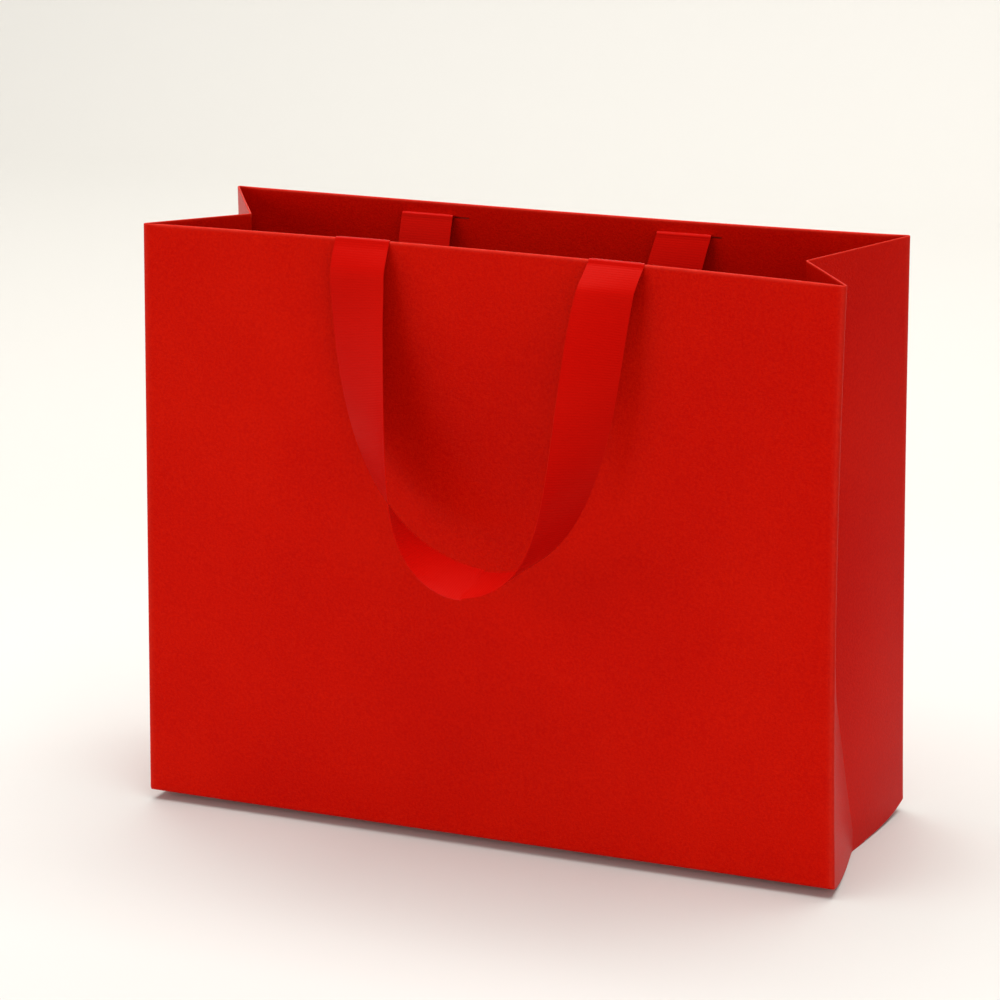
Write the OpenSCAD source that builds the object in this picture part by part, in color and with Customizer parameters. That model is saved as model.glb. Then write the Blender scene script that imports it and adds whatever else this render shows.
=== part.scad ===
// Landscape paper gift bag with creased side gussets and two ribbon handles.
// X runs across the front, Y from front to rear, Z up. The origin is on the
// resting plane under the middle of the base.

/* [Bag] */
// Width across the front panel
bag_w = 320; // [280:5:360]
// Height of the mouth above the resting plane
bag_h = 264; // [230:2:290]
// Depth between the outer faces at the base
base_d = 110; // [106:1:116]
// Depth between the outer faces at the mouth
mouth_d = 89; // [86:1:98]
// How high the lower edges of the panels stand off the resting plane
base_lift = 5; // [2:0.5:6]

/* [Side gussets] */
// How far the crease is pushed in at the mouth
crease_in_top = 29; // [15:1:32]
// How far the crease is pushed in at the base
crease_in_base = 6; // [4:0.5:8]
// How far the crease lies in front of the middle
crease_forward = 9; // [4:1:11]

/* [Paper and card] */
// Thickness of the paper
paper_t = 0.4; // [0.3:0.05:0.5]
// Thickness of the two stiffening cards in the turned top edge
top_card_t = 0.6; // [0.4:0.1:0.8]
// Height of the stiffening cards
top_card_h = 36; // [34:1:38]
// Height of the paper turned in at the mouth
hem_h = 40; // [39:1:60]
// Thickness of the loose card on the base
base_card_t = 1; // [0.8:0.1:1.4]
// Width of the glued seam flap
seam_flap_w = 15; // [10:1:20]

/* [Ribbon handles] */
// Width of the ribbon
ribbon_w = 25; // [20:1:28]
// Thickness of the ribbon
ribbon_t = 0.4; // [0.3:0.05:0.5]
// Distance between the strands of the front handle
front_span = 116; // [104:1:125]
// Distance between the strands of the rear handle
rear_span = 122; // [110:1:130]
// Drop of the front handle below the top edge
front_drop = 132; // [104:2:140]
// How far the bottom of the front loop stands off the front panel
front_stand_off = 40; // [25:1:45]
// How far the bottom of the rear loop stands off the rear panel
rear_stand_off = 25; // [18:1:30]
// Sideways shift of the bottom of the front loop
front_sway = 10; // [-12:1:12]
// Depth of the ribbon slits below the top edge
slit_down = 6; // [5:0.5:8]
// Length of ribbon glued inside the turned edge
ribbon_end_h = 28; // [15:1:28]

/* [Hidden] */

// Gap left at a crease that turns
crease_gap = 0.3;
// Inward lean of the panels, and their height along the slope
lean = atan((base_d - mouth_d) / 2 / (bag_h - base_lift));
panel_h = (bag_h - base_lift) / cos(lean);

// Layers of a panel's turned edge, from the outer face inwards
card_y = paper_t;
pocket_y = card_y + top_card_t;
hem_y = pocket_y + ribbon_t;
inner_y = hem_y + paper_t;
hem_inset = 2.5;
slit_z = panel_h - slit_down;
slit_play = 2;
slit_open = 1.2;

// Gussets: rings up each half and its hem, where the hem starts between fold and
// crease, and the pitch of the two layers
gusset_rings = 48;
gusset_hem_rings = 12;
hem_start = 0.07;
layer_step = paper_t + 0.25;
mid_y = -crease_forward;

// Base flaps: half width of the flat middle, the glued overlap and the side flaps
flat_half = 34;
overlap_half = 12;
side_flap_half = 36;
side_flap_reach = 52;
side_slope = 8;
card_clearance = 1.5;
end_play = 1;
base_edge = base_d / 2 - paper_t - crease_gap;

// Ribbon loops: rings on each half, and where the loops leave the bag
loop_rings = 26;
front_loop_gap = 0.7;
front_loop_start = 3;
rear_loop_start = 1;
strand_curve = 26;
bottom_curve = 46;
twist_start = 0.1;
twist_run = 0.8;
rear_drop = front_drop + 2;

paper_red = [0.72, 0.06, 0.03];
ribbon_red = [0.80, 0.08, 0.06];
card_red = [0.60, 0.05, 0.04];

function smooth(v) = let (k = min(1, max(0, v))) k * k * (3 - 2 * k);
function mix(a, b, k) = a * (1 - k) + b * k;

// Point on a cubic curve through a and d, pulled towards b and c
function cubic(a, b, c, d, k) =
    a * pow(1 - k, 3) + b * 3 * k * pow(1 - k, 2) + c * 3 * k * k * (1 - k) + d * pow(k, 3);

// Closed thin solid through rings of four points, each ring counter-clockwise
// seen from ahead; opposite walls are cut along matching diagonals
module sweep(rings) {
    sides = len(rings[0]);
    last = len(rings) - 1;
    points = [for (ring = rings) for (p = ring) p];
    walls = [
        for (i = [0:last - 1])
            for (j = [0:sides - 1])
                let (a = i * sides + j, b = i * sides + (j + 1) % sides)
                    for (face = j < sides / 2
                        ? [[a, a + sides, b + sides], [a, b + sides, b]]
                        : [[a, a + sides, b], [b, a + sides, b + sides]])
                        face
    ];
    first_cap = [for (j = [0:sides - 1]) j];
    last_cap = [for (j = [sides - 1:-1:0]) last * sides + j];
    polyhedron(points, concat([first_cap], walls, [last_cap]), convexity = 6);
}

// Places a child drawn upright, outer face at y = 0, as the leaning front panel
module at_front() {
    translate([0, -base_d / 2, base_lift])
        rotate([-lean, 0, 0])
            children();
}

module at_rear() {
    mirror([0, 1, 0])
        at_front()
            children();
}

// Upright sheet centred on x, from z0 to z1
module sheet(width, y, thickness, z0, z1, x = 0) {
    translate([x - width / 2, y, z0])
        cube([width, thickness, z1 - z0]);
}

// ---- Panels and turned top edges ----

module panel() {
    color(paper_red)
        sheet(bag_w, 0, paper_t, 0, panel_h);
}

// Paper turned over the top edge and down the inside, with a slit for each strand
module hem(span) {
    hem_w = bag_w - 2 * hem_inset;
    color(paper_red)
        difference() {
            union() {
                sheet(hem_w, hem_y, paper_t, panel_h - hem_h, panel_h);
                sheet(hem_w, card_y, hem_y + paper_t - card_y, panel_h - paper_t, panel_h);
            }
            for (side = [-1, 1])
                sheet(
                    ribbon_w + slit_play, hem_y - 1, paper_t + 2,
                    slit_z - slit_open, slit_z, side * span / 2
                );
        }
}

module top_card() {
    top = panel_h - paper_t;
    color(card_red)
        sheet(bag_w - 2 * hem_inset, card_y, top_card_t, top - top_card_h, top);
}

module side_seam_flap() {
    color(paper_red)
        at_rear()
            sheet(
                seam_flap_w, card_y, paper_t, 2, panel_h - hem_h - 1,
                hem_inset - bag_w / 2 + seam_flap_w / 2
            );
}

// ---- Gussets ----

// Inner face of a panel, and the depth of the crease, at height z
function wall_y(z) =
    base_d / 2 - (z - base_lift) * tan(lean) - (paper_t + crease_gap) / cos(lean);
function crease_in(z) =
    mix(crease_in_base, crease_in_top, (z - base_lift) / (bag_h - base_lift));

// Section of one gusset half at height z, between two fractions of its width
function gusset_ring(side_y, z, layer, from) =
    let (
        fold = [bag_w / 2 - layer * layer_step, side_y * wall_y(z), z],
        crease = [bag_w / 2 - crease_in(z) - layer * layer_step, mid_y, z],
        start = mix(fold, crease, from),
        inward = [-paper_t, 0, 0],
        ring = [start, crease, crease + inward, start + inward]
    )
    side_y < 0 ? ring : [for (i = [3:-1:0]) ring[i]];

// One half of the right gusset, from its fold to the crease
module gusset_half(side_y, z0 = base_lift, rings = gusset_rings, layer = 0, from = 0) {
    color(paper_red)
        sweep([
            for (i = [0:rings])
                gusset_ring(side_y, mix(z0, bag_h, i / rings), layer, from)
        ]);
}

module gusset_hem_half(side_y) {
    gusset_half(side_y, bag_h - hem_h, gusset_hem_rings, 1, hem_start);
}

module to_left() {
    mirror([1, 0, 0])
        children();
}

// ---- Base ----

// Strip bent along its length: an outline drawn in depth and height, along X
module bent_along_x(outline, length) {
    rotate([90, 0, 90])
        linear_extrude(length, center = true)
            polygon(outline);
}

module base_front_flap() {
    color(paper_red)
        bent_along_x(
            [
                [-base_edge, base_lift], [-flat_half, 0], [overlap_half, 0],
                [overlap_half, paper_t], [-flat_half, paper_t], [-base_edge, base_lift + paper_t]
            ],
            bag_w - 2 * end_play
        );
}

// The rear flap steps up over the front one where the two are glued
module base_rear_flap() {
    step = overlap_half + crease_gap;
    color(paper_red)
        bent_along_x(
            [
                [base_edge, base_lift], [base_edge, base_lift + paper_t], [flat_half, paper_t],
                [step + paper_t, paper_t], [step, 2 * paper_t], [-overlap_half, 2 * paper_t],
                [-overlap_half, paper_t], [step, paper_t], [step, 0], [flat_half, 0]
            ],
            bag_w - 2 * end_play
        );
}

// The side flap folds in from the foot of the gusset and lies on the long flaps
module base_side_flap() {
    foot_x = bag_w / 2 - crease_in_base - 2 * paper_t;
    lies_z = 2 * paper_t;
    outline = [
        [foot_x, base_lift], [foot_x, base_lift + paper_t],
        [foot_x - side_slope, lies_z + paper_t], [foot_x - side_flap_reach, lies_z + paper_t],
        [foot_x - side_flap_reach, lies_z], [foot_x - side_slope, lies_z]
    ];
    color(paper_red)
        rotate([90, 0, 0])
            linear_extrude(2 * side_flap_half, center = true)
                polygon(outline);
}

// Loose card that lies on the edges of the four flaps and stiffens the base
module base_card() {
    length = bag_w - 2 * (crease_in_base + paper_t + card_clearance);
    depth = 2 * (base_edge - card_clearance);
    color(card_red)
        translate([-length / 2, -depth / 2, base_lift + paper_t])
            cube([length, depth, base_card_t]);
}

// ---- Ribbons ----

// Glued end of a strand: up the pocket, out of the slit and, at the front, on
// up the inside and over the top edge
module ribbon_end(x, over_edge) {
    out_z = slit_z - slit_open / 2 - ribbon_t / 2;
    face_y = inner_y + ribbon_t;
    color(ribbon_red) {
        sheet(ribbon_w, pocket_y, ribbon_t, slit_z - ribbon_end_h, out_z + ribbon_t, x);
        sheet(ribbon_w, pocket_y, face_y - pocket_y, out_z, out_z + ribbon_t, x);
        if (over_edge) {
            sheet(ribbon_w, inner_y, ribbon_t, out_z, panel_h + ribbon_t, x);
            sheet(ribbon_w, -ribbon_t, face_y + ribbon_t, panel_h, panel_h + ribbon_t, x);
            sheet(ribbon_w, -ribbon_t, ribbon_t, panel_h - 1, panel_h + ribbon_t, x);
        }
    }
}

// Middle of the ribbon at k, from 0 at the top of the left strand to 2 at the
// top of the right one; y is negative away from the panel's outer face
function loop_point(k, span, top, drop, start_y, stand_off, sway) =
    let (
        side = k < 1 ? -1 : 1,
        t = k < 1 ? k : 2 - k,
        foot = top - drop,
        a = [side * span / 2, top],
        b = [side * span / 2, top - strand_curve],
        c = [side * bottom_curve + sway, foot],
        d = [sway, foot],
        p = cubic(a, b, c, d, t)
    )
    [p.x, start_y + stand_off * sin(90 * t), p.y];

function unit(v) = v / norm(v);

// Section of the ribbon at k: flat against the panel at the top of a strand and
// turned edge-on to it at the bottom of the loop
function loop_ring(k, span, top, drop, start_y, stand_off, sway) =
    let (
        step = 0.01,
        before = loop_point(max(0, k - step), span, top, drop, start_y, stand_off, sway),
        after = loop_point(min(2, k + step), span, top, drop, start_y, stand_off, sway),
        middle = loop_point(k, span, top, drop, start_y, stand_off, sway),
        along = unit(after - before),
        out = [0, sign(stand_off), 0],
        across = unit(cross(out, along)),
        level = unit(cross(along, across)),
        t = k < 1 ? k : 2 - k,
        turn = 90 * smooth((t - twist_start) / twist_run) * (k < 1 ? 1 : -1),
        w = (across * cos(k < 1 ? turn : -turn) - level * sin(k < 1 ? turn : -turn)) * ribbon_w / 2,
        s = unit(cross(along, w)) * ribbon_t / 2
    )
    [for (corner = [[-1, -1], [1, -1], [1, 1], [-1, 1]]) middle + w * corner.x + s * corner.y];

module ribbon_loop(span, top, drop, start_y, stand_off, sway) {
    color(ribbon_red)
        sweep([
            for (i = [0:2 * loop_rings])
                loop_ring(i / loop_rings, span, top, drop, start_y, stand_off, sway)
        ]);
}

module front_handle_ribbon() {
    start_y = -front_loop_gap - ribbon_t / 2;
    at_front()
        ribbon_loop(
            front_span, panel_h - front_loop_start, front_drop - front_loop_start,
            start_y, -front_stand_off, front_sway
        );
}

module rear_handle_ribbon() {
    start_y = inner_y + ribbon_t + crease_gap + ribbon_t / 2;
    at_rear()
        ribbon_loop(
            rear_span, slit_z - rear_loop_start, rear_drop - rear_loop_start,
            start_y, rear_stand_off, 0
        );
}

at_front() panel();  // front_panel
at_rear() panel();  // rear_panel
at_front() hem(front_span);  // front_hem
at_rear() hem(rear_span);  // rear_hem
at_front() top_card();  // front_top_card
at_rear() top_card();  // rear_top_card
side_seam_flap();
gusset_half(-1);  // right_gusset_front
gusset_half(1);  // right_gusset_rear
to_left() gusset_half(-1);  // left_gusset_front
to_left() gusset_half(1);  // left_gusset_rear
gusset_hem_half(-1);  // right_gusset_hem_front
gusset_hem_half(1);  // right_gusset_hem_rear
to_left() gusset_hem_half(-1);  // left_gusset_hem_front
to_left() gusset_hem_half(1);  // left_gusset_hem_rear
base_front_flap();
base_rear_flap();
base_side_flap();  // base_right_flap
to_left() base_side_flap();  // base_left_flap
base_card();
at_front() ribbon_end(-front_span / 2, true);  // front_ribbon_end_left
at_front() ribbon_end(front_span / 2, true);  // front_ribbon_end_right
at_rear() ribbon_end(-rear_span / 2, false);  // rear_ribbon_end_left
at_rear() ribbon_end(rear_span / 2, false);  // rear_ribbon_end_right
front_handle_ribbon();
rear_handle_ribbon();
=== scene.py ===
import math

import bpy
import numpy as np
from mathutils import Matrix, Vector


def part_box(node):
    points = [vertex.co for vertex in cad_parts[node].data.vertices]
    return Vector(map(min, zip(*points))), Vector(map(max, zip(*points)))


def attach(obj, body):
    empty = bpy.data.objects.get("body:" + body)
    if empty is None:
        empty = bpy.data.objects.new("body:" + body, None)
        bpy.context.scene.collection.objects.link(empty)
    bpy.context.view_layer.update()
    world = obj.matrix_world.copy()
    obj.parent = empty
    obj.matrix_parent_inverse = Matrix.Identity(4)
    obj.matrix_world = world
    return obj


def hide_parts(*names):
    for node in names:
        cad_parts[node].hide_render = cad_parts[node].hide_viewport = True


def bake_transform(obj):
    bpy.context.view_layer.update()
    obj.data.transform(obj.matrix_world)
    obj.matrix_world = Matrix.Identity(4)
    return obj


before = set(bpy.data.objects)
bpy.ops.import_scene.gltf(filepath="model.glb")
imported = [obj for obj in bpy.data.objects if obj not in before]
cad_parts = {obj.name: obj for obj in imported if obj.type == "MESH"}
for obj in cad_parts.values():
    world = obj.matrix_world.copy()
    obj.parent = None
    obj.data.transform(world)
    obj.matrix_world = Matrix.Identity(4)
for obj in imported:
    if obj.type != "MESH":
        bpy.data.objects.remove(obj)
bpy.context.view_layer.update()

# Lengths are in millimetres, in the frame of the CAD model, until a mesh is made.
MM = 0.001


def box_mm(node):
    low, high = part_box(node)
    return np.array(low) / MM, np.array(high) / MM


# ---- Sizes read from the frame ----

panel_low, panel_high = box_mm("front_panel")
HALF_W = panel_high[0]
HALF_BASE = -panel_low[1]
LIFT = panel_low[2]
WALL_H = panel_high[2] - LIFT
PAPER_T = 0.4
CARD_T = 0.6
RIBBON_T = 0.4
RIBBON_W = 25.0
HEM_H = panel_high[2] - box_mm("front_hem")[0][2]
CARD_H = panel_high[2] - box_mm("front_top_card")[0][2]
SLIT_DOWN = 6.0
SLIT_OPEN = 0.8
POCKET_H = 28.0

# The paper springs out a little at the base corners and is drawn in at the mouth
BASE_HALF_W = HALF_W + 1.2
TOP_HALF_W = HALF_W - 1.2
WALL_SLOPE = 0.048

# Layers of a turned edge: with the card and ribbon in it, and of paper alone
FULL_EDGE = PAPER_T + CARD_T + RIBBON_T + PAPER_T
BARE_EDGE = 0.9
EDGE_TAPER = 9.0
FOLD_R = 1.4
CREASE_R = 0.6
CURL_R = 1.2


class Wall:
    """A broad wall: side is -1 at the front and 1 at the rear. Its corners are depths at the mouth."""

    def __init__(self, side, left, right, rise_left, rise_right, bow, skew, pinch):
        self.side = side
        self.left = left
        self.right = right
        self.rise_left = rise_left
        self.rise_right = rise_right
        self.bow = bow
        self.skew = skew
        self.pinch = pinch


FRONT = Wall(-1, 46.0, 49.9, 1.0, -0.5, 7.0, 0.0, 1.9)
REAR = Wall(1, 49.2, 48.2, -0.4, 0.4, 3.6, 0.6, 0.8)


def mix(a, b, k):
    return a + (b - a) * k


def smooth(v):
    k = np.clip(v, 0.0, 1.0)
    return k * k * (3 - 2 * k)


def wall_point(wall, x, t, h):
    """World point of a wall: x across, t in from its outer face, h up from its lower edge."""
    u = np.asarray(x, float) / HALF_W
    v = np.asarray(h, float) / WALL_H
    up = np.clip(v, 0.0, 1.1)
    depth = mix(HALF_BASE, mix(wall.left, wall.right, (u + 1) / 2), v)
    depth = depth - wall.bow * (1 - u * u) * (1 + wall.skew * u) * up ** 1.3
    pinch = wall.pinch * np.clip(u, 0, 1) ** 3 * np.sin(math.pi * np.clip(v, 0, 1)) ** 0.8
    rise = mix(wall.rise_left, wall.rise_right, (u + 1) / 2) * up ** 2
    across = u * mix(BASE_HALF_W, TOP_HALF_W, v) - pinch
    height = LIFT + h + rise + WALL_SLOPE * np.maximum(0.0, -np.asarray(t, float))
    return np.stack(np.broadcast_arrays(across, wall.side * (depth - t), height), -1)


# ---- Meshes ----

def lengths(points):
    """Running length along a line of points."""
    steps = np.linalg.norm(np.diff(points, axis=0), axis=1)
    return np.concatenate([[0.0], np.cumsum(steps)])


def new_object(name, vertices, faces, uvs=None, wear_and_highlight=None):
    """Mesh object from points in millimetres, with a UV for each vertex, in metres."""
    mesh = bpy.data.meshes.new(name)
    mesh.from_pydata([tuple(p) for p in np.asarray(vertices) * MM], [], [tuple(f) for f in faces])
    if uvs is not None:
        layer = mesh.uv_layers.new(name="UVMap")
        corners = np.zeros(len(mesh.loops), np.int32)
        mesh.loops.foreach_get("vertex_index", corners)
        layer.data.foreach_set("uv", (np.asarray(uvs)[corners] * MM).astype(np.float32).ravel())
    # a mask of wear and painted highlight, paler on the folds
    if wear_and_highlight is not None:
        mesh.attributes.new("wear_and_highlight", "FLOAT", "POINT").data.foreach_set(
            "value", np.asarray(wear_and_highlight, np.float32).ravel()
        )
    mesh.polygons.foreach_set("use_smooth", [True] * len(mesh.polygons))
    mesh.update()
    made = bpy.data.objects.new(name, mesh)
    bpy.context.scene.collection.objects.link(made)
    return made


def bake_modifiers(made, sharp_angle=50.0):
    """Applies the modifiers of an object to its mesh."""
    bpy.context.view_layer.update()
    graph = bpy.context.evaluated_depsgraph_get()
    mesh = bpy.data.meshes.new_from_object(made.evaluated_get(graph))
    made.modifiers.clear()
    made.data = mesh
    mesh.set_sharp_from_angle(angle=math.radians(sharp_angle))
    return made


def sheet_object(name, points, inward, thickness=PAPER_T, keep=None, wear_and_highlight=None):
    """Solid sheet whose outer skin is a grid of points; inward leads to its other skin."""
    points = np.asarray(points, float)
    rows, cols = points.shape[:2]
    index = np.arange(rows * cols).reshape(rows, cols)
    first = np.cross(points[1, 0] - points[0, 0], points[0, 1] - points[0, 0])
    flip = np.dot(first, inward) > 0
    faces = []
    for i in range(rows - 1):
        for j in range(cols - 1):
            if keep is not None and not keep[i, j]:
                continue
            quad = [index[i, j], index[i + 1, j], index[i + 1, j + 1], index[i, j + 1]]
            faces.append(quad[::-1] if flip else quad)
    across = lengths(points[:, cols // 2])
    along = lengths(points[rows // 2])
    uvs = np.stack(np.meshgrid(across, along, indexing="ij"), -1).reshape(-1, 2)
    wear_and_highlight_values = np.zeros(rows * cols) if wear_and_highlight is None else np.asarray(wear_and_highlight).ravel()
    made = new_object(name, points.reshape(-1, 3), faces, uvs, wear_and_highlight_values)
    solid = made.modifiers.new("thickness", "SOLIDIFY")
    solid.thickness = thickness * MM
    solid.offset = -1.0
    return bake_modifiers(made)


# ---- Turned edge profile ----

def edge_profile(layers, hem_rows):
    """Section up a wall, over its turned edge and down the hem: t in from the outer face, and h."""
    layers = np.atleast_1d(np.asarray(layers, float))[:, None]
    ones = np.ones_like(layers)
    curl = np.radians(np.linspace(-70, 0, 6))[None]
    turn = np.radians(np.linspace(0, 180, 11))[None]
    radius = layers / 2
    # rows close to each bend keep the flat part flat
    rise = np.concatenate([CURL_R + np.array([0.5, 1.4]), np.linspace(5.0, WALL_H - 5.0, 50)])[None] * ones
    near_top = WALL_H - radius - np.array([[2.2, 0.9, 0.3]])
    rise = np.concatenate([rise, near_top], 1)
    t = np.concatenate([
        CURL_R * (1 - np.cos(curl)) * ones, 0 * rise,
        radius * (1 - np.cos(turn)), layers * np.ones((1, len(hem_rows))),
    ], 1)
    h = np.concatenate([
        CURL_R * (1 + np.sin(curl)) * ones, rise,
        WALL_H - radius + radius * np.sin(turn),
        (WALL_H - np.asarray(hem_rows, float))[None] * ones,
    ], 1)
    return t, h


def fold_wear_and_highlight(h, layers, strength=0.5):
    """Wear and painted highlight along the turned top edge: the rounded fold is painted paler."""
    return strength * smooth(1 - (WALL_H - h) / (layers * 0.9))


# ---- Walls ----

# How far a slit runs on past its ribbon, at the left and at the right
SLIT_RUN = {-1: 7.0, 1: 4.0}


def slit_edges(centres):
    """Both ends of the slit that each strand comes through; the slits run on past one side of the ribbon."""
    return [(c - RIBBON_W / 2 - 1.2, c + RIBBON_W / 2 + SLIT_RUN[1 if c > 0 else -1]) for c in centres]


def wall_columns(centres):
    edges = [x for pair in slit_edges(centres) for x in pair]
    end = HALF_W - FOLD_R
    even = np.linspace(-end, end, 73)
    fine = np.array([-end + 0.8, -end + 2.5, end - 2.5, end - 0.8])
    keep = [x for x in np.concatenate([even, fine]) if min(abs(x - e) for e in edges) > 0.8]
    return np.array(sorted(set(keep) | set(edges)))


HEM_ROWS = [1.3, 2.4, 3.6, SLIT_DOWN - 0.7, SLIT_DOWN, SLIT_DOWN + SLIT_OPEN, SLIT_DOWN + SLIT_OPEN + 0.8,
            12.0, 18.0, 25.0, 32.0, HEM_H]


def wall_object(name, wall, centres):
    """The broad sheet of one wall with its turned edge, and a slit through the hem for each strand."""
    x = wall_columns(centres)
    layers = mix(BARE_EDGE, FULL_EDGE, smooth((HALF_W - FOLD_R - np.abs(x)) / EDGE_TAPER))
    t, h = edge_profile(layers, HEM_ROWS)
    hem_start = t.shape[1] - len(HEM_ROWS)
    # the lips of each slit are pushed a little apart
    for start, end in slit_edges(centres):
        in_slit = (x >= start - 0.01) & (x <= end + 0.01)
        spread = np.sin(math.pi * np.clip((x - start) / (end - start), 0, 1)) * in_slit
        t[:, hem_start + 4] += 0.15 * spread
        t[:, hem_start + 5] -= 0.1 * spread
    points = wall_point(wall, x[:, None], t, h)
    keep = np.ones((len(x) - 1, t.shape[1] - 1), bool)
    middle = (x[1:] + x[:-1]) / 2
    for start, end in slit_edges(centres):
        keep[(middle > start) & (middle < end), hem_start + 4] = False
    # painted highlight: the turned top edge and the wall ends at the corner folds are painted paler, partly
    # wear and partly light catching the folds
    wear_and_highlight = fold_wear_and_highlight(h, layers[:, None])
    ends = smooth(1 - (HALF_W - FOLD_R - np.abs(x)) / 1.2)[:, None]
    wear_and_highlight = np.maximum(wear_and_highlight, 0.3 * ends * np.ones_like(h))
    wear_and_highlight[:, hem_start + 1:] = 0.0
    inward = np.array([0.0, -wall.side, 0.0])
    return sheet_object(name, points, inward, keep=keep, wear_and_highlight=wear_and_highlight)


def flat_layer(name, wall, x_range, t, thickness, h_range, columns=33, rows=9):
    """A plain layer that follows a wall: a card or a glued flap."""
    x = np.linspace(*x_range, columns)
    h = np.linspace(*h_range, rows)
    points = wall_point(wall, x[:, None], t, h[None])
    return sheet_object(name, points, np.array([0.0, -wall.side, 0.0]), thickness)


# ---- Gussets ----

class Gusset:
    """A side gusset: side is 1 at the right and -1 at the left."""

    def __init__(self, side, crease_in_base, crease_in_top, crease_y_base, crease_y_top, bulge):
        self.side = side
        self.crease_in_base = crease_in_base
        self.crease_in_top = crease_in_top
        self.crease_y_base = crease_y_base
        self.crease_y_top = crease_y_top
        self.bulge = bulge


RIGHT = Gusset(1, 7.5, 27.2, -1.0, -12.2, 0.9)
LEFT = Gusset(-1, 7.5, 32.3, -1.0, -6.5, 0.9)
CREASE_RISE = 1.7
CREASE_FOOT = 0.04
FOOT_CURVE = 4.0


def crease_point(gusset, h):
    """The crease goes in quickly above the base and then more slowly up to the mouth."""
    v = np.asarray(h, float) / WALL_H
    above = np.maximum(0.0, v - CREASE_FOOT)
    share = (1 - np.exp(-CREASE_RISE * above)) / (1 - math.exp(-CREASE_RISE * (1 - CREASE_FOOT)))
    depth_in = mix(gusset.crease_in_base, gusset.crease_in_top, share)
    x = gusset.side * (mix(BASE_HALF_W, TOP_HALF_W, v) - depth_in)
    y = mix(gusset.crease_y_base, gusset.crease_y_top, v)
    return np.stack([x, y, LIFT + np.asarray(h, float)], -1)


def unit(v):
    return v / np.linalg.norm(v)


def foot_height(y):
    """Underside of the base: on the ground in the middle and curling up to the lower edges of the walls."""
    return LIFT * np.clip(np.abs(y) / HALF_BASE, 0, 1) ** FOOT_CURVE


def arc_between(corner, before, after, radius, steps):
    """Fillet of a corner between two unit directions, in plan."""
    turn = math.acos(np.clip(np.dot(before, after), -1, 1))
    reach = radius * math.tan(turn / 2)
    start = corner - before * reach
    side = 1.0 if before[0] * after[1] - before[1] * after[0] > 0 else -1.0
    normal = side * np.array([-before[1], before[0]])
    centre = start + normal * radius
    angles = np.linspace(0, turn, steps)
    return np.array([centre - normal * radius * math.cos(a) + before * radius * math.sin(a) for a in angles])


def gusset_section(gusset, wall, h):
    """Plan of one gusset half at height h, from the end of the wall round the fold to the crease."""
    end = wall_point(wall, gusset.side * (HALF_W - FOLD_R), 0.0, h)
    fold = wall_point(wall, gusset.side * HALF_W, 0.0, h)[:2]
    crease = crease_point(gusset, h)[:2]
    toward = np.array([0.0, -wall.side])
    before = unit(fold - end[:2])
    along = unit(crease - fold)
    turn = math.acos(np.clip(np.dot(along, toward), -1, 1))
    valley = crease - toward * CREASE_R * math.tan(turn / 2)
    along = unit(valley - fold)
    radius = FOLD_R * 0.9
    sharp = math.acos(np.clip(np.dot(before, along), -1, 1))
    # the rounded fold keeps its place in the outline however sharp the corner is
    fold = fold + before * radius * max(0.0, math.tan(sharp / 2) - 1)
    along = unit(valley - fold)
    bend = arc_between(fold, before, along, radius, 8)
    pinch = arc_between(valley, along, toward, CREASE_R, 5)
    k = np.linspace(0, 1, 26)[1:-1, None]
    flat = mix(bend[-1], pinch[0], k)
    v = h / WALL_H
    swell = gusset.bulge * math.sin(math.pi * min(1.0, v * 0.85 + 0.12))
    outward = np.array([gusset.side, 0.0])
    outward = unit(outward - along * np.dot(outward, along))
    flat = flat + outward * swell * np.sin(math.pi * k)
    line = np.vstack([end[:2], mix(end[:2], bend[0], 0.5), bend, flat, pinch])
    share = lengths(line) / lengths(line)[-1]
    rise = (end[2] - LIFT - h) * (1 - share)
    sag = (LIFT - foot_height(line[:, 1])) * smooth(1 - h / 60.0)
    return line, rise - sag


def gusset_half(name, gusset, wall):
    """One half of a gusset with its turned edge."""
    t, h = edge_profile(BARE_EDGE, HEM_ROWS)
    t, h = t[0], h[0]
    grid = []
    for i in range(len(t)):
        line, rise = gusset_section(gusset, wall, h[i])
        tangent = np.gradient(line, axis=0)
        tangent /= np.linalg.norm(tangent, axis=1)[:, None]
        turned = np.stack([-tangent[:, 1], tangent[:, 0]], -1) * -wall.side * gusset.side
        inward = turned * t[i]
        z = LIFT + h[i] + rise
        grid.append(np.column_stack([line + inward, z]))
    points = np.array(grid).transpose(1, 0, 2)
    hem_start = len(t) - len(HEM_ROWS)
    # painted highlight: the turned top edge, the corner fold and the crease are painted paler, partly wear
    # and partly light catching the folds
    wear_and_highlight = np.tile(fold_wear_and_highlight(h, BARE_EDGE)[None], (len(points), 1))
    folds = np.zeros(len(points))
    folds[2:10] = 0.25
    folds[-3:] = 0.45
    wear_and_highlight = np.maximum(wear_and_highlight, folds[:, None])
    wear_and_highlight[:, hem_start + 1:] = 0.0
    made = sheet_object(name, points, np.array([0.0, -wall.side, 0.0]), wear_and_highlight=wear_and_highlight)
    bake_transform(made)
    return made


# ---- Base ----

def base_reach(gusset, y):
    """How far out the base goes at depth y, along the foot of a gusset."""
    front = gusset_section(gusset, FRONT, 0.0)[0]
    rear = gusset_section(gusset, REAR, 0.0)[0]
    line = np.vstack([front, rear[::-1]])
    return np.interp(y, line[:, 1], line[:, 0])


def base_layer(name, y_range, level, inset):
    """A folded layer of the base, with its ends along the gussets and its edges curled up."""
    y = np.linspace(*y_range, 40)
    left = base_reach(LEFT, y) + inset
    right = base_reach(RIGHT, y) - inset
    k = np.linspace(0, 1, 33)
    points = np.stack(np.broadcast_arrays(
        mix(left[:, None], right[:, None], k[None]), y[:, None], (foot_height(y) + level)[:, None],
    ), -1)
    made = sheet_object(name, points, np.array([0.0, 0.0, 1.0]))
    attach(made, "shell")
    return made


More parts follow.
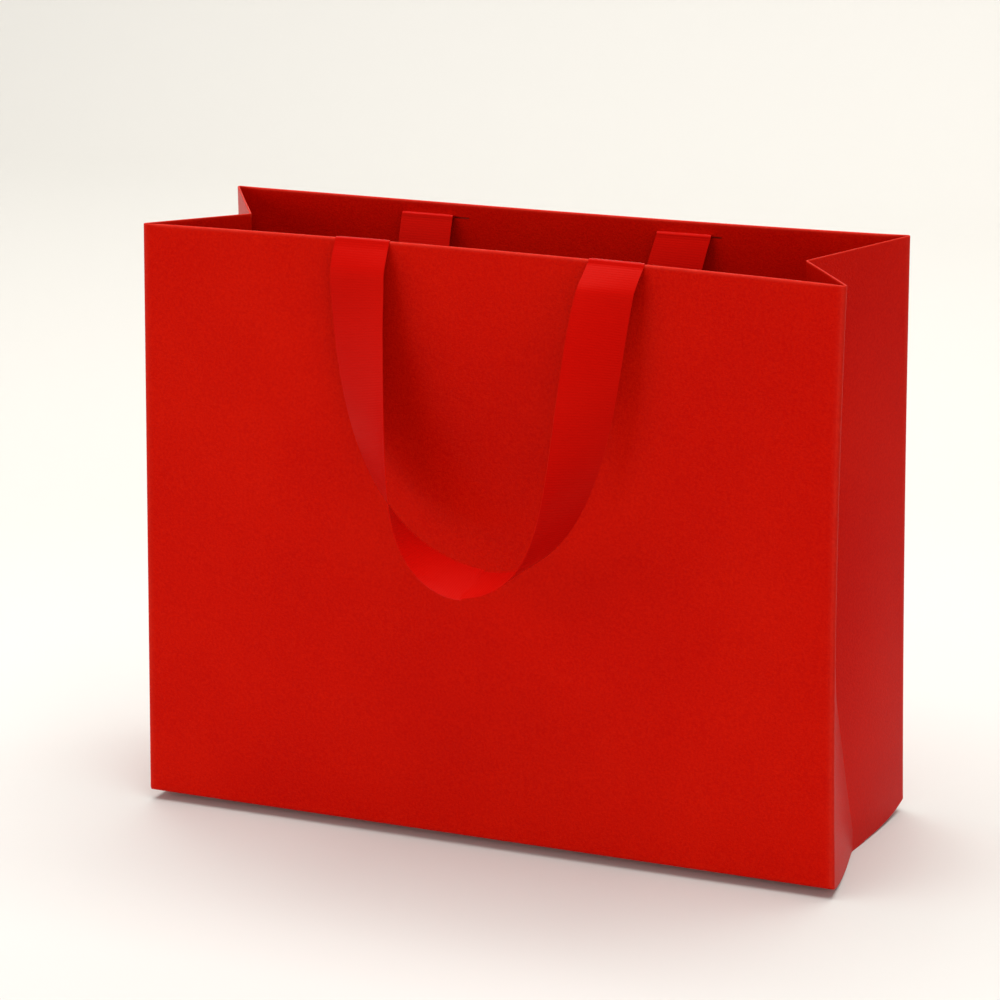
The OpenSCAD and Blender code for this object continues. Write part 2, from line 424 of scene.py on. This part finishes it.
def base_tongue(name, gusset, level):
    """The folded-in side flap of the base, under the base card."""
    low, high = box_mm("base_right_flap" if gusset.side > 0 else "base_left_flap")
    inner = low[0] if gusset.side > 0 else high[0]
    edge = HALF_BASE - 4.0
    y = np.linspace(-edge, edge, 31)
    outer = base_reach(gusset, y) - gusset.side * 1.2
    straight_half = (abs(outer[len(y) // 2]) - abs(inner)) * 0.1
    inner = inner + gusset.side * np.maximum(0.0, np.abs(y) - straight_half)
    k = np.linspace(0, 1, 9)
    points = np.stack(np.broadcast_arrays(
        mix(outer[:, None], inner[:, None], k[None]), y[:, None], (foot_height(y) + level)[:, None],
    ), -1)
    made = sheet_object(name, points, np.array([0.0, 0.0, 1.0]))
    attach(made, "shell")
    return made


# ---- Ribbons ----

class Strand:
    """Half of a ribbon's loop, from the top edge down: a cubic curve in the wall's plane, and a twist."""

    def __init__(
        self, top_x, top_pull, foot_pull, foot, stand_off, spread, twist_from, twist_to, lip, lip_down,
    ):
        self.top_x = top_x
        self.top_pull = top_pull
        self.foot_pull = foot_pull
        self.foot = foot
        self.stand_off = stand_off
        self.spread = spread
        self.twist_from = twist_from
        self.twist_to = twist_to
        self.lip = lip
        self.lip_down = lip_down


def eased_stop(k, width=0.15):
    """Follows k up to 1 and then stays there, with a short bend between."""
    bend = 1 - (1 + width - k) ** 2 / (4 * width)
    return np.where(k < 1 - width, k, np.where(k > 1 + width, 1.0, bend))


def strand_path(strand, top, turn_end, steps):
    """Centres (x, off the wall, h), in-plane normals to the inside of the loop, and twists of one strand."""
    k = np.linspace(0, 1, steps)
    inner = -np.sign(strand.top_x)
    p = [np.array(a) for a in ((strand.top_x, top), strand.top_pull, strand.foot_pull, strand.foot)]
    w = [(1 - k) ** 3, 3 * (1 - k) ** 2 * k, 3 * (1 - k) * k ** 2, k ** 3]
    centre = sum(a[:, None] * b for a, b in zip(w, p))
    slope = np.gradient(centre, k, axis=0)
    slope /= np.linalg.norm(slope, axis=1)[:, None]
    normal = np.stack([-slope[:, 1], slope[:, 0]], -1) * inner
    off = strand.stand_off * (1 - (1 - k) ** strand.spread)
    down = top - centre[:, 1]
    # the width lies along the edge that the ribbon comes over, and turns with the path below it
    normal = mix(np.array([[inner, 0.0]]), normal, smooth(down / 30.0)[:, None])
    normal /= np.linalg.norm(normal, axis=1)[:, None]
    off = off + strand.lip * eased_stop(down / strand.lip_down) * np.exp(-down / 55.0)
    turned = smooth((k - strand.twist_from) / (strand.twist_to - strand.twist_from))
    twist = turn_end * turned * smooth(k / 0.12)
    return centre, off, normal, twist


def ribbon_object(name, wall, stations):
    """Continuous ribbon. A station is a centre (x, t, h) and the direction of the width there."""
    centres = np.array([s[0] for s in stations])
    widths = np.array([s[1] for s in stations])
    half = np.linspace(-1, 1, 9) * RIBBON_W / 2
    line = centres[:, None] + widths[:, None] * half[None, :, None]
    world = wall_point(wall, line[..., 0], line[..., 1], line[..., 2])
    rows, cols = world.shape[:2]
    along = np.gradient(world, axis=0)
    across = np.gradient(world, axis=1)
    normal = np.cross(along, across)
    normal /= np.linalg.norm(normal, axis=2)[..., None]
    # the woven edges are a little thicker than the rest
    thick = RIBBON_T / 2 * np.array([0.45, 1.15, 1.0, 1.0, 1.0, 1.0, 1.0, 1.15, 0.45])
    half_t = normal * thick[None, :, None]
    ring = np.concatenate([world + half_t, (world - half_t)[:, ::-1]], 1)
    count = ring.shape[1]
    index = np.arange(rows * count).reshape(rows, count)
    faces = []
    for i in range(rows - 1):
        for j in range(count):
            n = (j + 1) % count
            faces.append([index[i, j], index[i, n], index[i + 1, n], index[i + 1, j]])
    faces.append(list(index[0][::-1]))
    faces.append(list(index[-1]))
    run = lengths(world[:, cols // 2])
    side = np.concatenate([half, half[::-1]])
    uvs = np.stack(np.broadcast_arrays(side[None], run[:, None]), -1).reshape(-1, 2)
    made = new_object(name, ring.reshape(-1, 3), faces, uvs)
    made.data.set_sharp_from_angle(angle=math.radians(70))
    return made, run[-1]


# Radius of the roll in which the rear ribbon leaves its slit
REAR_BULGE = 1.3


def glued_end(x, inner, out_h, over_edge):
    """Stations of a strand's end: up the pocket and out of the slit, then over the edge or in a roll."""
    pocket_t = PAPER_T + CARD_T + RIBBON_T / 2 + 0.02
    face_t = FULL_EDGE + RIBBON_T / 2 + 0.1
    width = np.array([inner, 0.0, 0.0])
    stations = [((x, pocket_t, h), width) for h in np.linspace(out_h - POCKET_H, out_h - 1.2, 8)]
    through = np.linspace(0, 1, 7)
    for k in through:
        stations.append(((x, mix(pocket_t, face_t, smooth(k)), out_h - 0.9 + 0.9 * k), width))
    if over_edge:
        for h in np.linspace(out_h + 1.0, WALL_H - FULL_EDGE / 2, 5):
            stations.append(((x, face_t, h), width))
        radius = FULL_EDGE / 2 + RIBBON_T / 2 + 0.12
        for a in np.radians(np.linspace(20, 165, 11)):
            t = FULL_EDGE / 2 + radius * math.cos(a)
            stations.append(((x, t, WALL_H - FULL_EDGE / 2 + radius * math.sin(a)), width))
    else:
        for a in np.radians(np.linspace(15, 165, 11)):
            t = face_t + REAR_BULGE * (1 - math.cos(a))
            stations.append(((x, t, out_h + REAR_BULGE * math.sin(a)), width))
    return stations


def ribbon_stations(wall, strands, turn_end, top, off_sign, first_off, over_edge, steps=110):
    """Stations of the whole ribbon from its left end to its right end."""
    halves = []
    out_h = WALL_H - SLIT_DOWN - SLIT_OPEN / 2
    for strand in strands:
        inner = -float(np.sign(strand.top_x))
        centre, off, normal, twist = strand_path(strand, top, turn_end, steps)
        stations = glued_end(strand.top_x, inner, out_h, over_edge)
        for c, o, n, w in zip(centre, off, normal, twist):
            t = off_sign * (first_off + o)
            width = (n[0] * math.cos(w), off_sign * math.sin(w), n[1] * math.cos(w))
            position = (c[0], t if off_sign < 0 else FULL_EDGE + t, c[1])
            stations.append((position, np.array(width)))
        halves.append(stations)
    left, right = halves
    return left + right[::-1][1:]


FRONT_STRANDS = [
    Strand(-57.0, (-51.5, 148.0), (-17.0, 127.7), (14.0, 127.7), 45.0, 1.3, -0.08, 0.94, 6.0, 12.0),
    Strand(59.0, (49.3, 210.0), (63.8, 127.7), (14.0, 127.7), 45.0, 1.3, -0.1, 1.15, 5.2, 10.0),
]
REAR_STRANDS = [
    Strand(-62.6, (-62.0, 190.0), (-46.0, 119.0), (-3.0, 119.0), 24.0, 1.6, 0.05, 0.95, 4.0, 14.0),
    Strand(59.9, (49.0, 196.0), (44.0, 119.0), (-3.0, 119.0), 24.0, 1.6, 0.05, 0.95, 4.0, 14.0),
]
FRONT_TURN = 1.87
REAR_TURN = 1.75


def wall_normal(wall, x_left, x_right, h):
    """Unit normal of a wall between two strands near height h, pointing away from the bag's inside."""
    left = wall_point(wall, x_left, 0.0, h)
    right = wall_point(wall, x_right, 0.0, h)
    below = wall_point(wall, (x_left + x_right) / 2, 0.0, h - 20.0)
    middle = wall_point(wall, (x_left + x_right) / 2, 0.0, h)
    normal = unit(np.cross(right - left, middle - below))
    return normal if normal[1] * wall.side > 0 else -normal


def front_ribbon():
    stations = ribbon_stations(FRONT, FRONT_STRANDS, FRONT_TURN, WALL_H - 1.0, -1, 0.35, True)
    made, length = ribbon_object("front_ribbon", FRONT, stations)
    left, right = (s.top_x for s in FRONT_STRANDS)
    normal = wall_normal(FRONT, left, right, WALL_H)
    face = (wall_point(FRONT, left, 0.0, WALL_H) + wall_point(FRONT, right, 0.0, WALL_H)) / 2
    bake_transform(made)
    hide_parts("front_handle_ribbon", "front_ribbon_end_left", "front_ribbon_end_right")
    return made


def rear_ribbon():
    top = WALL_H - SLIT_DOWN - SLIT_OPEN / 2
    stations = ribbon_stations(REAR, REAR_STRANDS, REAR_TURN, top, 1, 0.3 + 2 * REAR_BULGE, False)
    made, length = ribbon_object("rear_ribbon", REAR, stations)
    left, right = (s.top_x for s in REAR_STRANDS)
    normal = wall_normal(REAR, left, right, top)
    face = (wall_point(REAR, left, 0.0, top) + wall_point(REAR, right, 0.0, top)) / 2
    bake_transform(made)
    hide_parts("rear_handle_ribbon", "rear_ribbon_end_left", "rear_ribbon_end_right")
    return made


# ---- Materials ----

class Nodes:
    """Small helper that adds nodes to a material and links them."""

    def __init__(self, name):
        self.material = bpy.data.materials.new(name)
        self.material.use_nodes = True
        self.tree = self.material.node_tree
        self.shader = self.tree.nodes["Principled BSDF"]

    def add(self, kind, **settings):
        node = self.tree.nodes.new(kind)
        for key, value in settings.items():
            if key in node.inputs:
                node.inputs[key].default_value = value
            else:
                setattr(node, key, value)
        return node

    def link(self, source, target):
        self.tree.links.new(source, target)

    def noise(self, vector, scale, detail=2.0, roughness=0.5):
        node = self.add("ShaderNodeTexNoise", Scale=scale, Detail=detail, Roughness=roughness)
        self.link(vector, node.inputs["Vector"])
        return node.outputs["Fac"]

    def ramp(self, value, stops):
        node = self.add("ShaderNodeValToRGB")
        elements = node.color_ramp.elements
        elements[0].position, elements[0].color = stops[0]
        elements[1].position, elements[1].color = stops[-1]
        for position, color in stops[1:-1]:
            elements.new(position).color = color
        self.link(value, node.inputs["Fac"])
        return node.outputs["Color"]

    def math(self, operation, a, b):
        node = self.add("ShaderNodeMath", operation=operation)
        for socket, value in zip(node.inputs, (a, b)):
            if isinstance(value, (int, float)):
                socket.default_value = value
            else:
                self.link(value, socket)
        return node.outputs[0]

    def mix_color(self, share, a, b):
        node = self.add("ShaderNodeMix", data_type="RGBA")
        if isinstance(share, (int, float)):
            node.inputs[0].default_value = share
        else:
            self.link(share, node.inputs[0])
        for socket, value in ((node.inputs[6], a), (node.inputs[7], b)):
            if isinstance(value, tuple):
                socket.default_value = value
            else:
                self.link(value, socket)
        return node.outputs[2]

    def bump(self, height, strength, distance, normal=None):
        node = self.add("ShaderNodeBump", Strength=strength, Distance=distance)
        self.link(height, node.inputs["Height"])
        if normal is not None:
            self.link(normal, node.inputs["Normal"])
        return node.outputs["Normal"]


PAPER_RED = (0.545, 0.0040, 0.0001, 1.0)
PAPER_LIGHT = (0.60, 0.0070, 0.0006, 1.0)
PAPER_DARK = (0.485, 0.0020, 0.0001, 1.0)
# pale pink of worn folds and of the painted highlight on them
WORN_HIGHLIGHT_RED = (0.72, 0.075, 0.045, 1.0)


def paper_material():
    """Dyed-through red art paper with a fine pebbled emboss, painted paler along its folds for wear and for
    the highlight on the rounded folds.
    """
    n = Nodes("red_embossed_paper")
    where = n.add("ShaderNodeTexCoord").outputs["Object"]
    cloud = n.noise(where, 14.0, 3.0, 0.55)
    grain = n.noise(where, 900.0, 3.0, 0.65)
    pebble = n.add("ShaderNodeTexVoronoi", feature="SMOOTH_F1", Scale=1500.0, Smoothness=0.6)
    n.link(where, pebble.inputs["Vector"])
    fibres = n.noise(where, 3200.0, 2.0, 0.6)
    base = n.ramp(cloud, [(0.3, PAPER_DARK), (0.5, PAPER_RED), (0.72, PAPER_LIGHT)])
    speckle = n.ramp(grain, [(0.35, PAPER_DARK), (0.65, PAPER_LIGHT)])
    base = n.mix_color(0.6, base, speckle)
    # painted highlight: the folds are mixed toward pale pink, partly wear and partly light catching them
    wear_and_highlight = n.add("ShaderNodeAttribute", attribute_name="wear_and_highlight").outputs["Fac"]
    scuff_and_highlight = n.math("MULTIPLY", wear_and_highlight, n.math("ADD", n.noise(where, 260.0, 3.0, 0.7), 0.15))
    n.link(n.mix_color(n.math("MULTIPLY", scuff_and_highlight, 0.75), base, WORN_HIGHLIGHT_RED), n.shader.inputs["Base Color"])
    pebbles = n.math("MULTIPLY", pebble.outputs["Distance"], 0.6)
    height = n.math("ADD", pebbles, n.math("MULTIPLY", grain, 0.7))
    height = n.math("ADD", height, n.math("MULTIPLY", fibres, 0.2))
    n.link(n.bump(height, 0.8, 0.00018), n.shader.inputs["Normal"])
    rough = n.add("ShaderNodeMapRange")
    n.link(grain, rough.inputs["Value"])
    rough.inputs["To Min"].default_value = 0.40
    rough.inputs["To Max"].default_value = 0.54
    n.link(rough.outputs["Result"], n.shader.inputs["Roughness"])
    n.shader.inputs["Specular IOR Level"].default_value = 0.015
    n.shader.inputs["Coat Weight"].default_value = 0.28
    n.shader.inputs["Coat Roughness"].default_value = 0.2
    n.shader.inputs["Coat IOR"].default_value = 1.13
    return n.material


def card_material():
    """Plain stiff card covered in the same red."""
    n = Nodes("red_card")
    where = n.add("ShaderNodeTexCoord").outputs["Object"]
    fibres = n.noise(where, 420.0, 4.0, 0.7)
    n.link(n.ramp(fibres, [(0.3, (0.36, 0.008, 0.004, 1)), (0.7, (0.46, 0.014, 0.008, 1))]),
           n.shader.inputs["Base Color"])
    n.link(n.bump(fibres, 0.35, 0.0002), n.shader.inputs["Normal"])
    n.shader.inputs["Roughness"].default_value = 0.7
    n.shader.inputs["Specular IOR Level"].default_value = 0.2
    return n.material


RIB_PITCH = 0.0011
RIBBON_RED = (0.51, 0.0016, 0.0004, 1.0)
RIBBON_SHADE = (0.48, 0.0012, 0.0003, 1.0)


def ribbon_material():
    """Red woven ribbon with fine ribs across it and a plain woven edge."""
    n = Nodes("red_woven_ribbon")
    place = n.add("ShaderNodeUVMap", uv_map="UVMap").outputs["UV"]
    split = n.add("ShaderNodeSeparateXYZ")
    n.link(place, split.inputs[0])
    across, along = split.outputs[0], split.outputs[1]
    turn = n.math("MULTIPLY", along, 2 * math.pi / RIB_PITCH)
    ribs = n.math("ADD", n.math("MULTIPLY", n.math("SINE", turn, 0.0), 0.5), 0.5)
    threads = n.math("SINE", n.math("MULTIPLY", across, 2 * math.pi / 0.0004), 0.0)
    edge = n.math("ABSOLUTE", across, 0.0)
    border = n.add("ShaderNodeMapRange")
    n.link(edge, border.inputs["Value"])
    border.inputs["From Min"].default_value = (RIBBON_W / 2 - 1.3) * MM
    border.inputs["From Max"].default_value = (RIBBON_W / 2 - 0.9) * MM
    plain = border.outputs["Result"]
    where = n.add("ShaderNodeTexCoord").outputs["Object"]
    cloud = n.noise(where, 45.0, 2.0, 0.5)
    base = n.mix_color(ribs, RIBBON_SHADE, RIBBON_RED)
    base = n.mix_color(n.math("MULTIPLY", cloud, 0.35), base, (0.55, 0.005, 0.002, 1.0))
    n.link(base, n.shader.inputs["Base Color"])
    body = n.math("MULTIPLY", ribs, n.math("SUBTRACT", 1.0, plain))
    height = n.math("ADD", body, n.math("MULTIPLY", threads, 0.12))
    n.link(n.bump(height, 0.3, 0.0001), n.shader.inputs["Normal"])
    n.shader.inputs["Roughness"].default_value = 0.42
    n.shader.inputs["Specular IOR Level"].default_value = 0.12
    n.shader.inputs["Specular Tint"].default_value = (1.0, 0.2, 0.1, 1.0)
    n.shader.inputs["Sheen Weight"].default_value = 0.02
    n.shader.inputs["Sheen Roughness"].default_value = 0.4
    n.shader.inputs["Sheen Tint"].default_value = (1.0, 0.25, 0.18, 1.0)
    return n.material


def paint(piece, material):
    piece.data.materials.clear()
    piece.data.materials.append(material)


# ---- The bag ----

paper = paper_material()
card = card_material()
ribbon = ribbon_material()

front_centres = [s.top_x for s in FRONT_STRANDS]
rear_centres = [s.top_x for s in REAR_STRANDS]

front_wall = wall_object("front_wall", FRONT, front_centres)
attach(front_wall, "front")
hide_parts("front_panel", "front_hem")
paint(front_wall, paper)

rear_wall = wall_object("rear_wall", REAR, rear_centres)
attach(rear_wall, "rear")
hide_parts("rear_panel", "rear_hem")
paint(rear_wall, paper)

for word, wall in (("front", FRONT), ("rear", REAR)):
    end = HALF_W - EDGE_TAPER
    top = WALL_H - PAPER_T - 0.1
    stiffener = flat_layer(word + "_top_stiffener", wall, (-end, end), PAPER_T, CARD_T, (top - CARD_H, top))
    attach(stiffener, word)
    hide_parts(word + "_top_card")
    paint(stiffener, card)

seam_low, seam_high = box_mm("side_seam_flap")
seam = flat_layer(
    "side_seam", REAR, (seam_low[0], seam_high[0]), PAPER_T, PAPER_T,
    (seam_low[2] - LIFT, WALL_H - HEM_H - 1.0), 5, 30,
)
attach(seam, "rear")
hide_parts("side_seam_flap")
paint(seam, paper)

for side_word, gusset in (("right", RIGHT), ("left", LEFT)):
    for wall_word, wall in (("front", FRONT), ("rear", REAR)):
        half = gusset_half(f"{side_word}_gusset_{wall_word}_half", gusset, wall)
        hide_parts(f"{side_word}_gusset_{wall_word}", f"{side_word}_gusset_hem_{wall_word}")
        paint(half, paper)

front_overlap = box_mm("base_front_flap")[1][1]
rear_overlap = box_mm("base_rear_flap")[0][1]
base_pieces = {
    "front": base_layer("base_front_fold", (-HALF_BASE + 0.6, front_overlap), 0.03, 0.3),
    "rear": base_layer("base_rear_fold", (rear_overlap, HALF_BASE - 0.6), PAPER_T + 0.05, 0.4),
    "right": base_tongue("base_right_fold", RIGHT, 2 * PAPER_T + 0.1),
    "left": base_tongue("base_left_fold", LEFT, 2 * PAPER_T + 0.1),
}
for word, piece in base_pieces.items():
    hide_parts(f"base_{word}_flap")
    paint(piece, paper)
paint(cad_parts["base_card"], card)

paint(front_ribbon(), ribbon)
paint(rear_ribbon(), ribbon)


# ---- Floor, lights and camera ----

AZIMUTH = math.radians(21.92)
ELEVATION = math.radians(16.77)
ROLL = math.radians(-0.39)
DISTANCE = 1.4925
TARGET = Vector((-0.01097, 0.0, 0.14229))


def stage_material():
    n = Nodes("warm_white_paper_sweep")
    where = n.add("ShaderNodeTexCoord").outputs["Object"]
    split = n.add("ShaderNodeSeparateXYZ")
    n.link(where, split.inputs[0])
    sideways = n.math("MULTIPLY", split.outputs[0], -math.sin(AZIMUTH))
    away = n.math("ADD", n.math("MULTIPLY", split.outputs[1], math.cos(AZIMUTH)), sideways)
    away = n.math("ADD", away, n.math("MULTIPLY", n.noise(where, 1.3, 2.0, 0.5), 0.1))
    # painted shade: the sweep is darker and warmer behind the bag, where less light falls on it
    share = n.add("ShaderNodeMapRange", interpolation_type="SMOOTHSTEP")
    n.link(away, share.inputs["Value"])
    share.inputs["From Min"].default_value = 0.28
    share.inputs["From Max"].default_value = 0.56
    tone = n.mix_color(share.outputs["Result"], (0.72, 0.725, 0.705, 1.0), (0.71, 0.70, 0.67, 1.0))
    n.link(tone, n.shader.inputs["Base Color"])
    n.shader.inputs["Roughness"].default_value = 0.85
    n.shader.inputs["Specular IOR Level"].default_value = 0.1
    return n.material


def sweep_backdrop():
    """Floor that curves up into a backdrop."""
    radius, back, top, front, half = 500.0, 1250.0, 2600.0, -2600.0, 3000.0
    angles = np.radians(np.linspace(0, 90, 24))
    line = [(front, 0.0)] + [(back + radius * math.sin(a), radius * (1 - math.cos(a))) for a in angles]
    line.append((back + radius, top))
    x = np.linspace(-half, half, 3)
    points = np.array([[(a, y, z) for a in x] for y, z in line])
    rows, cols = points.shape[:2]
    index = np.arange(rows * cols).reshape(rows, cols)
    faces = [
        [index[i, j], index[i, j + 1], index[i + 1, j + 1], index[i + 1, j]]
        for i in range(rows - 1) for j in range(cols - 1)
    ]
    made = new_object("backdrop", points.reshape(-1, 3), faces)
    made.data.materials.append(stage_material())
    return made


def area_light(name, place, aim, size, power, color):
    data = bpy.data.lights.new(name, "AREA")
    data.shape = "RECTANGLE"
    data.size, data.size_y = size
    data.energy = power
    data.color = color
    made = bpy.data.objects.new(name, data)
    made.location = place
    made.rotation_euler = (Vector(aim) - Vector(place)).to_track_quat("-Z", "Y").to_euler()
    bpy.context.scene.collection.objects.link(made)
    return made


sweep_backdrop()
area_light("left_front", (-1.8, -2.0, 0.9), (0, 0, 0.1), (3.4, 1.5), 30.0, (1.0, 0.98, 0.95))
area_light("right_front", (1.9, -2.0, 0.9), (0, 0, 0.1), (3.4, 1.5), 19.0, (1.0, 0.98, 0.96))
area_light("overhead", (0.0, 0.0, 2.3), (0, 0.0, 0), (2.6, 2.4), 72.0, (1.0, 0.98, 0.95))
area_light("backdrop_wash", (0.0, 1.0, 2.4), (0, 1.5, 0.2), (3.6, 0.8), 15.0, (1.0, 0.98, 0.95))

world = bpy.data.worlds.new("studio")
world.use_nodes = True
world.node_tree.nodes["Background"].inputs["Color"].default_value = (1.0, 0.975, 0.945, 1.0)
world.node_tree.nodes["Background"].inputs["Strength"].default_value = 0.1
bpy.context.scene.world = world
bpy.context.scene.view_settings.view_transform = "Standard"

def photo_camera():
    """Camera at the photograph's angle: right of the front, a little above."""
    back = Vector((
        math.sin(AZIMUTH) * math.cos(ELEVATION),
        -math.cos(AZIMUTH) * math.cos(ELEVATION),
        math.sin(ELEVATION),
    ))
    right = (-back).cross(Vector((0, 0, 1))).normalized()
    up = right.cross(-back)
    rolled_right = right * math.cos(ROLL) + up * math.sin(ROLL)
    rolled_up = up * math.cos(ROLL) - right * math.sin(ROLL)
    data = bpy.data.cameras.new("camera")
    data.sensor_width = 36.0
    data.lens = 121.88
    data.clip_start, data.clip_end = 0.05, 20.0
    made = bpy.data.objects.new("camera", data)
    turn = Matrix((rolled_right, rolled_up, back)).transposed()
    made.matrix_world = Matrix.Translation(TARGET + back * DISTANCE) @ turn.to_4x4()
    bpy.context.scene.collection.objects.link(made)
    bpy.context.scene.camera = made


photo_camera()

bpy.context.view_layer.update()
